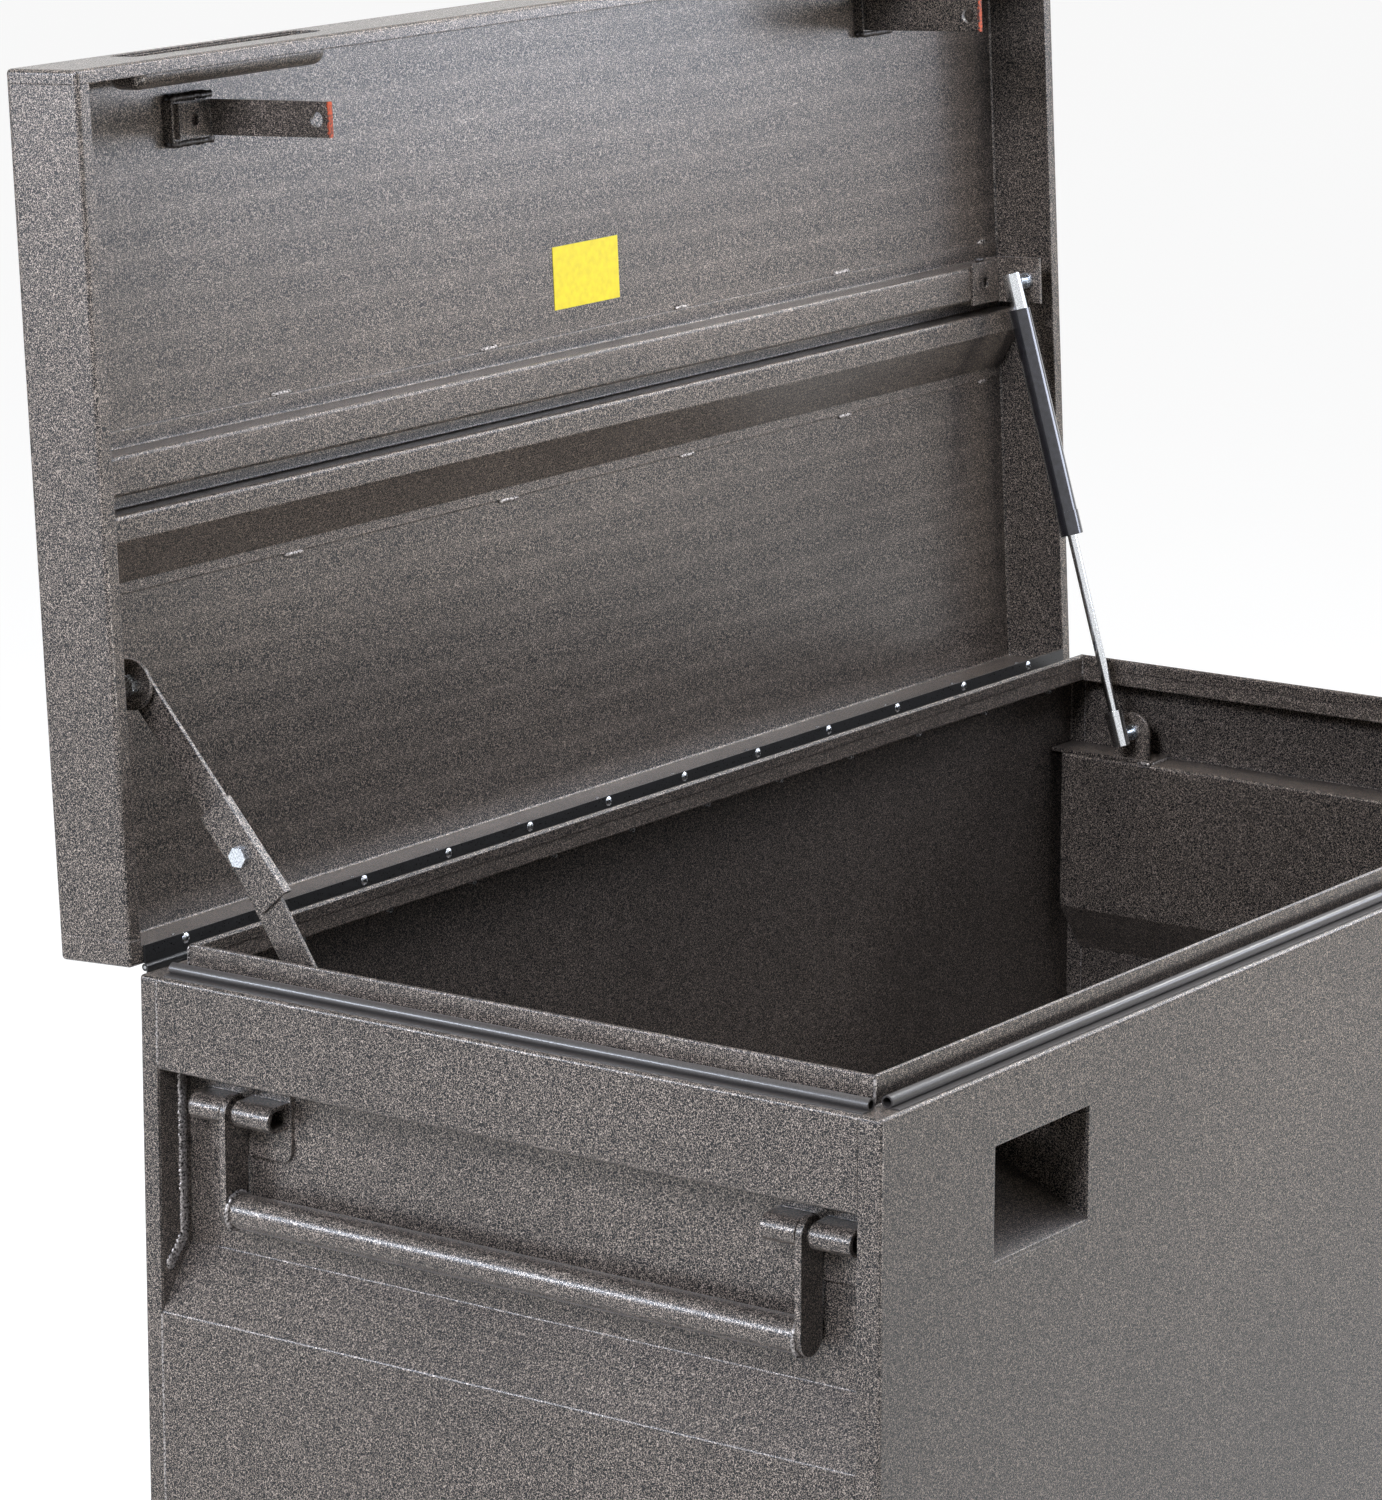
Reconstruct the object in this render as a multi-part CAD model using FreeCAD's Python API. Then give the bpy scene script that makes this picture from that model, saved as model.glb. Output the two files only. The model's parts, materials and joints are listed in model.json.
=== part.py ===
import FreeCAD, Part
import math
import os

V = FreeCAD.Vector

# Steel tool chest with its lid open. X runs along the length, Y from front to rear, Z up.
# The origin is the middle of the rectangle that the skids stand on. Millimetres throughout.

# Body
body_length = 1219.0
body_depth = 610.0
rim_height = 645.0          # floor to the flat ledge round the top
skid_height = 95.0
sheet = 1.5                 # wall of every folded panel
bend = 3.0                  # outer radius of the panels' folds
front_wrap = 18.0           # front panel turned round onto each end
rear_wrap = 15.0
seam = 0.3                  # joint line beside a wrapped edge
side_ledge = 24.5           # outer face to the lip, at the ends and the rear
front_ledge = 21.5
lip_height = 20.0
lip_wall = 3.0              # the lip is the sheet doubled back on itself
lip_round = 1.4

# Skids under the floor
skid_sheet = 3.0
skid_bend = 4.5
skid_width = 90.0
skid_flange = 25.0
skid_inset = 165.0          # outer face of the chest to the near side of the skid

# Recess at each end and the handle in it
recess_top = 66.0           # below the ledge
recess_drop = 131.0         # height of its back wall
recess_slope = 43.0         # height of the slope under the back wall
recess_depth = 34.0
pivot_depth = 17.5
pivot_drop = 91.0           # below the ledge
grip_drop = 70.0            # pivot to the tube
grip_radius = 12.5
arm_width = 25.0
arm_wall = 5.0
arm_from_front = 64.0       # outer face of the front panel to the front arm
arm_from_rear = 65.0
pin_radius = 6.0
pin_play = 0.3
pin_end_inset = 8.0         # open end of a sleeve to the pin's end
sleeve_wall = 3.0
sleeve_behind_arm = 27.0
sleeve_before_arm = 32.0
sleeve_gap = 3.0            # arm to sleeve
tube_wall = 2.5
bracket_wall = 3.0
bracket_margin = 2.0        # bracket beyond the sleeves
bracket_above = 21.0        # pivot to the bracket's top edge
bracket_below = 34.0
bracket_round = 8.0

# Padlock pockets behind the front panel
lock_inset = 193.0          # outer end face to the plane of the lock arm
pocket_width = 117.0
pocket_top = 50.0           # opening, below the ledge
pocket_bottom = 129.3
pocket_depth = 90.0
pocket_ceiling = 22.0       # below the ledge
pocket_slope = 25.5         # degrees
pocket_floor_wall = 3.0
pocket_slot_width = 10.0
pocket_slot_play = 5.0      # round the arm, front and rear

# Rubber seals on the ledge
seal_radius = 4.25
seal_wall = 1.2
seal_foot = 9.5             # middle of the bulb to the foot's outer edge
seal_foot_wall = 1.0
side_seal_inset = 13.3      # outer face to the middle of the bulb
front_seal_inset = 12.3
side_seal_start = 17.0      # from the front face
side_seal_stop = 19.0       # from the rear face
front_seal_start = 24.5     # from each end face

# Lid
lid_height = 63.0
lid_bend = 3.3
lid_side_overhang = 5.0
lid_front_overhang = 4.4
lid_side_flange = 12.7
lid_front_flange = 10.0
lid_rear_flange = 13.6
lid_cap_end = 18.5          # rear face to the caps' rear ends
lid_open_angle = 93.0

# Piano hinge
knuckle_radius = 2.6
hinge_pin_radius = 1.2
hinge_play = 0.05
hinge_leaf = 15.6           # axis to the free edge of each leaf
hinge_leaf_wall = 1.2
hinge_inset = 9.5           # outer end face to the hinge's end
hinge_height = 2.2          # ledge to the axis
knuckle_count = 39
knuckle_gap = 0.3
skirt_setback = 2.0         # axis to the lid's rear face
screw_count = 12
screw_row_ends = 119.0      # what the two ends of a screw row leave of the chest's length
screw_radius = 2.0
screw_play = 0.1
screw_length = 12.0
screw_head_radius = 3.8
screw_head_gap = 0.3        # head to the ledge with the lid closed
upper_screw_start = 54.0    # outer end face to the first screw
lower_screw_start = 68.0
screw_from_axis = 11.4

# Stiffener across the lid: the widths of its folds, from the hinge side on
stiffener_from_axis = 244.7
stiffener_lower_flange = 8.7
stiffener_slope = 32.6
stiffener_rail = 17.5
stiffener_groove = 14.1
stiffener_rib = 27.4
stiffener_upper_flange = 14.0
stiffener_height = 21.5
stiffener_end_gap = 2.0     # clears the lid's folds at both ends

# Finger grips pressed into the lid's front skirt
grip_pan_length = 206.0
grip_pan_low = 26.0         # above the lid's free edge
grip_pan_high = 54.0
grip_pan_depth = 22.0
grip_pan_round = 8.0
grip_pan_offset = -2.0      # middle of the pan from the lock arm

# Lock arms
lock_arm_width = 25.0
lock_arm_wall = 4.0
lock_arm_reach = 56.0       # below the lid's free edge
lock_arm_from_front = 39.0  # lid's front face to the arm's near edge
lock_base_length = 38.0
lock_base_hole = 4.5
lock_pad_wall = 8.0         # block between the lid's panel and the arm's foot
lock_pad_margin = 3.0
padlock_hole = 5.5
padlock_hole_drop = 45.0    # below the lid's free edge

# Plain plate on the lid
label_width = 84.0
label_height = 48.0
label_wall = 0.4
label_middle_x = 30.5
label_from_stiffener = 19.0

# Gas strut at the right, distances along it from the middle of the lower ball
strut_inset = 52.0          # outer end face to the strut's middle plane
strut_foot_from_rear = 79.5
strut_foot_drop = 39.0      # below the ledge
strut_head_under_rib = 29.8 # face of the stiffener's rib to the upper ball
ball_radius = 5.0
ball_play = 0.05
ball_neck_radius = 3.0
socket_radius = 7.5
socket_reach = 22.0         # middle of the ball to the socket's inner end
socket_cap = 8.0            # middle of the ball to the socket's outer end
rod_shown = 151.0           # rod between socket and cylinder with the lid open
rod_radius = 4.0
rod_play = 0.05
cylinder_radius = 9.0
cylinder_wall = 1.4
gland_length = 20.0
gland_radius = 9.6
piston_length = 10.0
cylinder_end = 4.0
stud_flange_radius = 6.5
stud_flange_wall = 3.0
stud_gap = 0.3              # loose end of a stud to what it serves
ball_reach = 20.0           # middle of the ball to the plate that carries it
bracket_plate = 3.0
strut_foot_base_length = 97.0
strut_foot_base_from_rear = 3.0
strut_foot_plate_width = 33.0
strut_head_leg = 42.0       # leg on the stiffener
strut_head_leg_width = 35.0
strut_head_plate_drop = 43.0
strut_head_plate_width = 38.0
bracket_hole = 4.5

# Folding stay at the left
stay_plate = 3.0
stay_gap = 0.3              # between plates that pass each other
stay_lower_inset = 44.3     # outer end face to the lower link
stay_foot_from_rear = 139.0
stay_foot_drop = 40.0
stay_lower_length = 147.3   # foot to elbow
stay_elbow_set = 10.5       # elbow in front of the line from foot to head
stay_head_from_axis = 190.4
stay_head_under_panel = 36.6
lower_link_width = 25.0
upper_link_width = 23.0
channel_length = 80.0
channel_wall = 2.5
channel_lip = 5.1
bolt_radius = 4.0
bolt_play = 0.05
bolt_flats = 13.0
bolt_head = 4.9
bolt_nut = 6.4
spacer_radius = 6.5
shelf_clear = 3.2           # outer end face to a plate that lies on the shelf
stay_foot_base_length = 50.0
stay_foot_plate_width = 28.0
stay_head_base = 33.0
stay_head_plate_width = 36.0


past = 1.0                  # how far a cutting shape runs beyond the metal

# Places worked out from the sizes above
left = -body_length / 2
right = body_length / 2
front = -body_depth / 2
rear = body_depth / 2
floor_under = skid_height
hinge_y = rear + knuckle_radius
hinge_z = rim_height + hinge_height
hinge_left = left + hinge_inset
hinge_right = right - hinge_inset
knuckle_length = (hinge_right - hinge_left + knuckle_gap) / knuckle_count - knuckle_gap
lid_under = hinge_z + hinge_leaf_wall / 2
lid_top = lid_under + lid_height
lid_left = left - lid_side_overhang
lid_right = right + lid_side_overhang
lid_front = front - lid_front_overhang
lid_rear = hinge_y - skirt_setback
panel_inside = lid_top - sheet
rib_start = stiffener_from_axis + stiffener_lower_flange + stiffener_slope + stiffener_rail + stiffener_groove
rib_stop = rib_start + stiffener_rib
rib_face = panel_inside - stiffener_height
screw_pitch = (body_length - screw_row_ends) / (screw_count - 1)
screw_head_height = hinge_height - hinge_leaf_wall / 2 - screw_head_gap
strut_head_from_axis = (rib_start + rib_stop) / 2
strut_head_above_axis = rib_face - strut_head_under_rib - hinge_z
stay_head_above_axis = panel_inside - stay_head_under_panel - hinge_z
recess_high = rim_height - recess_top
recess_back_low = recess_high - recess_drop
recess_low = recess_back_low - recess_slope
shelf_top = recess_high + sheet
recess_front = front + front_wrap + seam
recess_rear = rear - rear_wrap - seam
pivot_z = rim_height - pivot_drop
tube_z = pivot_z - grip_drop
front_arm_y = front + arm_from_front
rear_arm_y = rear - arm_from_rear - arm_wall


def block(x0, x1, y0, y1, z0, z1):
    return Part.makeBox(x1 - x0, y1 - y0, z1 - z0, V(x0, y0, z0))


def rod(start, end, radius):
    start = V(*start)
    end = V(*end)
    return Part.makeCylinder(radius, (end - start).Length, start, end - start)


def prism(points, along):
    corners = [V(*point) for point in points]
    return Part.Face(Part.makePolygon(corners + corners[:1])).extrude(V(*along))


def rounded_block(x0, x1, y0, y1, z0, z1, radius, keep=lambda edge: True):
    shape = block(x0, x1, y0, y1, z0, z1)
    return shape.makeFillet(radius, [edge for edge in shape.Edges if keep(edge)])


def mirror_x(shape):
    return shape.mirror(V(0, 0, 0), V(1, 0, 0))


def joined(shapes):
    whole = shapes[0]
    for shape in shapes[1:]:
        whole = whole.fuse(shape)
    return whole.removeSplitter()


# One side of a folded sheet: straight runs joined by tangent arcs
def arc_run(points, radii, place):
    edges = []
    start = points[0]
    for index in range(1, len(points) - 1):
        corner = points[index]
        inward = (corner - points[index - 1]).normalize()
        outward = (points[index + 1] - corner).normalize()
        half = inward.getAngle(outward) / 2
        reach = radii[index] * math.tan(half)
        first = corner - inward * reach
        last = corner + outward * reach
        middle = corner + (outward - inward).normalize() * radii[index] * (1 / math.cos(half) - 1)
        edges.append(Part.LineSegment(place(start), place(first)).toShape())
        edges.append(Part.Arc(place(first), place(middle), place(last)).toShape())
        start = last
    edges.append(Part.LineSegment(place(start), place(points[-1])).toShape())
    return edges


# Folded sheet of even wall: middle_path gives the middle of the wall, place turns (u, w) into space
def folded_sheet(middle_path, wall, outer_bend, place, along):
    path = [V(u, w, 0) for u, w in middle_path]
    steps = [(b - a).normalize() for a, b in zip(path, path[1:])]
    normals = [V(-step.y, step.x, 0) for step in steps]
    middle_bend = outer_bend - wall / 2
    sides = []
    for side in (1, -1):
        points = []
        radii = []
        for index, point in enumerate(path):
            before = normals[max(index - 1, 0)]
            after = normals[min(index, len(normals) - 1)]
            mitre = (before + after) / (1 + before.dot(after))
            turn = before.x * after.y - before.y * after.x
            points.append(point + mitre * side * wall / 2)
            radii.append(middle_bend - math.copysign(1, turn) * side * wall / 2)
        sides.append((points, radii))
    there, back = sides
    edges = arc_run(there[0], there[1], place)
    edges.append(Part.LineSegment(place(there[0][-1]), place(back[0][-1])).toShape())
    edges += arc_run(back[0][::-1], back[1][::-1], place)
    edges.append(Part.LineSegment(place(back[0][0]), place(there[0][0])).toShape())
    return Part.Face(Part.Wire(edges)).extrude(V(*along))


# Hexagonal head or nut on an axis along X
def hex_x(x0, x1, y, z, across_flats):
    corner = across_flats / math.sqrt(3)
    angles = [math.radians(60 * step) for step in range(6)]
    points = [(x0, y + corner * math.cos(a), z + corner * math.sin(a)) for a in angles]
    return prism(points, (x1 - x0, 0, 0))


# Body: one thin skin with folded edges, cut into the panels that the real one is welded from
def body_skin():
    def above_floor(edge):
        return edge.BoundBox.ZMax > floor_under + sheet
    outer = rounded_block(left, right, front, rear, floor_under, rim_height, bend, above_floor)
    inner = rounded_block(left + sheet, right - sheet, front + sheet, rear - sheet,
                          floor_under - bend, rim_height - sheet, bend - sheet, above_floor)
    return outer.cut(inner).cut(mouth(lip_wall))


# Space inside the lip's outer face, or inside its inner face when the lip's wall is added
def mouth(wall):
    return block(left + side_ledge + wall, right - side_ledge - wall,
                 front + front_ledge + wall, rear - side_ledge - wall,
                 rim_height - 2 * bend, rim_height + lip_height)


def lip_ring():
    ring = mouth(0).cut(mouth(lip_wall))
    ring = ring.cut(block(left, right, front, rear, rim_height - 3 * bend, rim_height))
    top = [edge for edge in ring.Edges if edge.BoundBox.ZMin > rim_height + lip_height / 2]
    return ring.makeFillet(lip_round, top)


# Region above the folds, mitred from each outer corner to the lip's corner
def mitred_region(side):
    corners = {}
    for x_name, x, x_in in (("left", left, 1), ("right", right, -1)):
        for y_name, y, y_in, ledge in (("front", front, 1, front_ledge), ("rear", rear, -1, side_ledge)):
            corners[x_name, y_name] = [
                (x, y),
                (x + x_in * side_ledge, y + y_in * ledge),
                (x + x_in * (side_ledge + lip_wall), y + y_in * (ledge + lip_wall)),
            ]
    if side in ("left", "right"):
        ends = corners[side, "front"], corners[side, "rear"]
    else:
        ends = corners["left", side], corners["right", side]
    outline = ends[0] + ends[1][::-1]
    low = rim_height - bend
    return prism([(x, y, low) for x, y in outline], (0, 0, lip_height + 2 * bend))


def wall_region(side):
    low = floor_under - bend
    high = rim_height - bend
    if side == "front":
        return block(left, right, front, front + front_wrap, low, high)
    if side == "rear":
        return block(left, right, rear - rear_wrap, rear, low, high)
    x0 = left if side == "left" else right - 2 * bend
    return block(x0, x0 + 2 * bend, recess_front, recess_rear, low, high)


def panel(side, skin, lip):
    region = joined([mitred_region(side), wall_region(side)])
    return joined([skin.common(region), lip.common(region)])


# Folded recess: shelf, back wall and slope, in one sheet with the end panel's wall
def recess_path(outer_face, inward):
    half = sheet / 2
    slope_shift = half * (math.hypot(recess_depth, recess_slope) - recess_slope) / recess_depth
    depths = (0, 0, recess_depth, recess_depth, 0, 0)
    heights = (recess_high + 3 * bend, recess_high, recess_high,
               recess_back_low, recess_low, recess_low - 3 * bend)
    lift = (0, half, half, -slope_shift, -slope_shift, 0)
    return [(outer_face + inward * (depth + half), height + up)
            for depth, height, up in zip(depths, heights, lift)]


def left_end_panel(skin, lip):
    wall = panel("left", skin, lip)
    gap = block(left - past, left + 2 * bend, recess_front - past, recess_rear + past,
                recess_low - 3 * bend, recess_high + 3 * bend)
    recess = folded_sheet(recess_path(left, 1), sheet, bend,
                          lambda p: V(p.x, recess_front, p.y), (0, recess_rear - recess_front, 0))
    return joined([wall.cut(gap), recess])


# Plates that close the recess at its two ends, behind the wrapped edges
def recess_plates():
    x0 = left + sheet
    x1 = left + recess_depth + sheet
    outline = [(x0, shelf_top), (x1, shelf_top), (x1, recess_back_low), (x0, recess_low - sheet)]
    plates = []
    for y in (recess_front - sheet, recess_rear):
        plates.append(prism([(x, y, z) for x, z in outline], (0, sheet, 0)))
    return Part.makeCompound(plates)


def pocket_height(y_from_front):
    return rim_height - pocket_bottom + y_from_front * math.tan(math.radians(pocket_slope))


def lock_pocket(middle):
    x0 = middle - pocket_width / 2
    floor_drop = pocket_floor_wall / math.cos(math.radians(pocket_slope))
    ceiling = rim_height - pocket_ceiling
    outer = [(x0 - sheet, front + depth, z) for depth, z in (
        (sheet, pocket_height(sheet) - floor_drop),
        (pocket_depth + sheet, pocket_height(pocket_depth + sheet) - floor_drop),
        (pocket_depth + sheet, ceiling + sheet),
        (sheet, ceiling + sheet))]
    inner = [(x0, front + depth, z) for depth, z in (
        (0, pocket_height(0)),
        (pocket_depth, pocket_height(pocket_depth)),
        (pocket_depth, ceiling),
        (0, ceiling))]
    nose = [(x0, front + depth, pocket_height(depth) - drop) for depth, drop in (
        (0, 0), (0, floor_drop), (2 * sheet, floor_drop), (2 * sheet, 0))]
    shell = prism(outer, (pocket_width + 2 * sheet, 0, 0))
    shell = shell.fuse(prism(nose, (pocket_width, 0, 0)))
    shell = shell.cut(prism(inner, (pocket_width, 0, 0)))
    arm_near = lid_front + lock_arm_from_front
    slot = block(middle - pocket_slot_width / 2, middle + pocket_slot_width / 2,
                 arm_near - pocket_slot_play, arm_near + lock_arm_width + pocket_slot_play,
                 ceiling - sheet, ceiling + 2 * sheet)
    return shell.cut(slot).removeSplitter()


def pocket_opening(middle):
    floor_drop = pocket_floor_wall / math.cos(math.radians(pocket_slope))
    return block(middle - pocket_width / 2, middle + pocket_width / 2, front - past, front + sheet + seam,
                 rim_height - pocket_bottom - floor_drop, rim_height - pocket_top)


def floor_panel():
    return rounded_block(left + sheet, right - sheet, front + sheet, rear - sheet,
                         floor_under, floor_under + sheet, bend - sheet,
                         lambda edge: edge.BoundBox.ZLength > sheet / 2)


# Formed channel under the floor, running from front to rear
def left_skid():
    near = left + skid_inset
    half = skid_sheet / 2
    high = skid_height - half
    path = [(near - skid_flange, high), (near + half, high), (near + half, half),
            (near + skid_width - half, half), (near + skid_width - half, high),
            (near + skid_width + skid_flange, high)]
    return folded_sheet(path, skid_sheet, skid_bend, lambda p: V(p.x, front, p.y), (0, body_depth, 0))


# Hollow bulb with a flat foot; the bulb's middle is at (0, 0) and the foot points to negative u
def seal(place, along):
    def circle(radius):
        quarters = ((1, 0), (0, 1), (-1, 0), (0, -1))
        ends = [place(V(radius * u, seal_radius + radius * w, 0)) for u, w in quarters]
        arcs = [Part.Arc(ends[0], ends[1], ends[2]).toShape(), Part.Arc(ends[2], ends[3], ends[0]).toShape()]
        return Part.Face(Part.Wire(arcs)).extrude(V(*along))
    outline = ((-seal_foot, 0), (0, 0), (0, seal_foot_wall), (-seal_foot, seal_foot_wall))
    corners = [place(V(u, w, 0)) for u, w in outline]
    foot = Part.Face(Part.makePolygon(corners + corners[:1])).extrude(V(*along))
    return circle(seal_radius).fuse(foot).cut(circle(seal_radius - seal_wall)).removeSplitter()


def left_seal():
    middle = left + side_seal_inset
    y0 = front + side_seal_start
    return seal(lambda p: V(middle + p.x, y0, rim_height + p.y), (0, rear - side_seal_stop - y0, 0))


def front_seal():
    middle = front + front_seal_inset
    x0 = left + front_seal_start
    return seal(lambda p: V(x0, middle + p.x, rim_height + p.y), (-2 * x0, 0, 0))


# Piano hinge. Its knuckles alternate between the chest's leaf and the lid's leaf.
def knuckle_starts(first):
    step = knuckle_length + knuckle_gap
    return [left + hinge_inset + index * step for index in range(first, knuckle_count, 2)]


def knuckle_row(first, radius, play=0.0):
    return [rod((x - play, hinge_y, hinge_z), (x + knuckle_length + play, hinge_y, hinge_z), radius)
            for x in knuckle_starts(first)]


def hinge_leaf_shape(plate, first):
    room = knuckle_row(1 - first, knuckle_radius + knuckle_gap, knuckle_gap)
    leaf = plate.cut(Part.makeCompound(room))
    bore = rod((left, hinge_y, hinge_z), (right, hinge_y, hinge_z), hinge_pin_radius + hinge_play)
    return leaf.fuse(knuckle_row(first, knuckle_radius)).cut(bore).removeSplitter()


def lower_leaf():
    plate = block(hinge_left, hinge_right, rear, rear + hinge_leaf_wall, hinge_z - hinge_leaf, hinge_z)
    return hinge_leaf_shape(plate, 0).cut(lower_screw_holes())


def upper_leaf_closed():
    half = hinge_leaf_wall / 2
    plate = block(hinge_left, hinge_right, hinge_y - hinge_leaf, hinge_y, hinge_z - half, hinge_z + half)
    return hinge_leaf_shape(plate, 1).cut(upper_screw_holes())


def hinge_pin():
    return rod((hinge_left, hinge_y, hinge_z), (hinge_right, hinge_y, hinge_z), hinge_pin_radius)


# Pan-head screw: shank along a direction, domed head on the far side of the seat
def screw(seat, direction):
    seat = V(*seat)
    direction = V(*direction)
    shank = Part.makeCylinder(screw_radius, screw_length, seat, direction)
    dome_radius = (screw_head_radius ** 2 + screw_head_height ** 2) / (2 * screw_head_height)
    sink = dome_radius - screw_head_height
    latitude = math.degrees(math.asin(sink / dome_radius))
    head = Part.makeSphere(dome_radius, seat + direction * sink, direction * -1, latitude, 90, 360)
    return shank.fuse(head).removeSplitter()


def screw_rows(start):
    return [left + start + index * screw_pitch for index in range(screw_count)]


def lower_screws():
    z = hinge_z - screw_from_axis
    seat_y = rear + hinge_leaf_wall
    return Part.makeCompound([screw((x, seat_y, z), (0, -1, 0)) for x in screw_rows(lower_screw_start)])


def lower_screw_holes():
    z = hinge_z - screw_from_axis
    hole = screw_radius + screw_play
    return Part.makeCompound([rod((x, rear - 2 * sheet, z), (x, rear + 2 * sheet, z), hole)
                              for x in screw_rows(lower_screw_start)])


def upper_screws_closed():
    y = hinge_y - screw_from_axis
    seat_z = hinge_z - hinge_leaf_wall / 2
    return Part.makeCompound([screw((x, y, seat_z), (0, 0, 1)) for x in screw_rows(upper_screw_start)])


def upper_screw_holes():
    y = hinge_y - screw_from_axis
    hole = screw_radius + screw_play
    return Part.makeCompound([rod((x, y, hinge_z - 2 * sheet), (x, y, hinge_z + 3 * sheet), hole)
                              for x in screw_rows(upper_screw_start)])


# The lid is drawn closed and then turned open about the hinge
def opened(shape):
    shape = shape.copy()
    shape.rotate(V(0, hinge_y, hinge_z), V(1, 0, 0), -lid_open_angle)
    return shape


def lid_skin():
    outer = rounded_block(lid_left, lid_right, lid_front, lid_rear, lid_under, lid_top, lid_bend)
    inner = rounded_block(lid_left + sheet, lid_right - sheet, lid_front + sheet, lid_rear - sheet,
                          lid_under + sheet, lid_top - sheet, lid_bend - sheet)
    opening = block(lid_left + lid_side_flange, lid_right - lid_side_flange,
                    lid_front + lid_front_flange, lid_rear - lid_rear_flange,
                    lid_under - past, lid_under + 2 * sheet)
    return outer.cut(inner).cut(opening)


def lid_cap_region(side_x, inward):
    x0, x1 = sorted((side_x, side_x + inward * lid_side_flange))
    return block(x0, x1, lid_front + lid_front_flange, lid_rear - lid_cap_end,
                 lid_under, lid_top - lid_bend)


def lid_cap(side_x, inward):
    return lid_skin().common(lid_cap_region(side_x, inward))


def lid_shell():
    shell = lid_skin().cut(lid_cap_region(lid_left, 1)).cut(lid_cap_region(lid_right, -1))
    for middle in grip_pan_middles():
        shell = shell.cut(grip_pan_shape(middle, 0.0))
    return shell.cut(upper_screw_holes())


def lid_stiffener():
    def along_lid(p):
        return V(lid_left + sheet + stiffener_end_gap, hinge_y - p.x, panel_inside - sheet / 2 - p.y)
    tall = stiffener_height - sheet
    slope_foot = stiffener_from_axis + stiffener_lower_flange
    rail_start = slope_foot + stiffener_slope
    rail_stop = rail_start + stiffener_rail
    path = [(stiffener_from_axis, 0), (slope_foot, 0), (rail_start, tall), (rail_stop, tall),
            (rail_stop, 0), (rib_start, 0), (rib_start, tall), (rib_stop, tall), (rib_stop, 0),
            (rib_stop + stiffener_upper_flange, 0)]
    length = lid_right - lid_left - 2 * (sheet + stiffener_end_gap)
    return folded_sheet(path, sheet, bend, along_lid, (length, 0, 0))


def grip_pan_middles():
    middle = left + lock_inset + grip_pan_offset
    return (middle, -middle)


# Pressed pan; wall 0 gives its hollow, a wall gives the outside of the metal
def grip_pan_shape(middle, wall):
    half = grip_pan_length / 2 + wall
    low = lid_under + grip_pan_low - wall
    high = lid_under + grip_pan_high + wall
    pan = block(middle - half, middle + half,
                lid_front - grip_pan_round, lid_front + grip_pan_depth + wall, low, high)
    buried = [edge for edge in pan.Edges if edge.BoundBox.YMax > lid_front]
    return pan.makeFillet(grip_pan_round + wall, buried)


def grip_pan(middle):
    outer = grip_pan_shape(middle, sheet)
    behind_skirt = block(lid_left, lid_right, lid_front + sheet, lid_front + 2 * grip_pan_depth,
                         lid_under, lid_top)
    return outer.common(behind_skirt).cut(grip_pan_shape(middle, 0.0))


# L-shaped arm that carries the padlock hole, on a block against the lid's panel
def lock_arm(middle):
    near = lid_front + lock_arm_from_front
    far = near + lock_arm_width
    x0 = middle - lock_arm_wall / 2
    x1 = middle + lock_arm_wall / 2
    high = panel_inside - lock_pad_wall
    tip = lid_under - lock_arm_reach
    arm = block(x0, x1, near, far, tip, high)
    foot = block(x1 - lock_base_length, x1, near, far, high - lock_arm_wall, high)
    shape = joined([arm, foot])
    hole_y = (near + far) / 2
    hole_z = lid_under - padlock_hole_drop
    shape = drilled(shape, hole_y, hole_z, padlock_hole)
    hole_x = (x1 - lock_base_length + x0) / 2
    ends = [(hole_x, hole_y, z) for z in (high - 2 * lock_arm_wall, high + past)]
    return shape.cut(rod(*ends, lock_base_hole))


def lock_arm_pad(middle):
    near = lid_front + lock_arm_from_front
    x1 = middle + lock_arm_wall / 2
    return rounded_block(x1 - lock_base_length - lock_pad_margin, x1 + lock_pad_margin,
                         near - lock_pad_margin, near + lock_arm_width + lock_pad_margin,
                         panel_inside - lock_pad_wall, panel_inside, lock_pad_margin,
                         lambda edge: edge.BoundBox.ZLength > lock_pad_wall / 2)


def lid_label():
    y = hinge_y - rib_stop - stiffener_upper_flange - label_from_stiffener - label_height / 2
    return block(label_middle_x - label_width / 2, label_middle_x + label_width / 2,
                 y - label_height / 2, y + label_height / 2, panel_inside - label_wall, panel_inside)


def open_point(from_axis, above_axis):
    turn = math.radians(lid_open_angle)
    return (hinge_y - from_axis * math.cos(turn) + above_axis * math.sin(turn),
            hinge_z + from_axis * math.sin(turn) + above_axis * math.cos(turn))


# Flat bar between two pivots in a plane of constant x, with round ends
def link(x0, wall, start, end, width):
    radius = width / 2
    along = V(0, end[0] - start[0], end[1] - start[1])
    across = along.cross(V(1, 0, 0)).normalize() * radius
    first = V(x0, *start)
    last = V(x0, *end)
    outline = [first + across, last + across, last - across, first - across]
    bar = prism([tuple(point) for point in outline], (wall, 0, 0))
    for y, z in (start, end):
        bar = bar.fuse(rod((x0, y, z), (x0 + wall, y, z), radius))
    return bar.removeSplitter()


def drilled(shape, y, z, radius):
    box = shape.BoundBox
    return shape.cut(rod((box.XMin - past, y, z), (box.XMax + past, y, z), radius))


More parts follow.
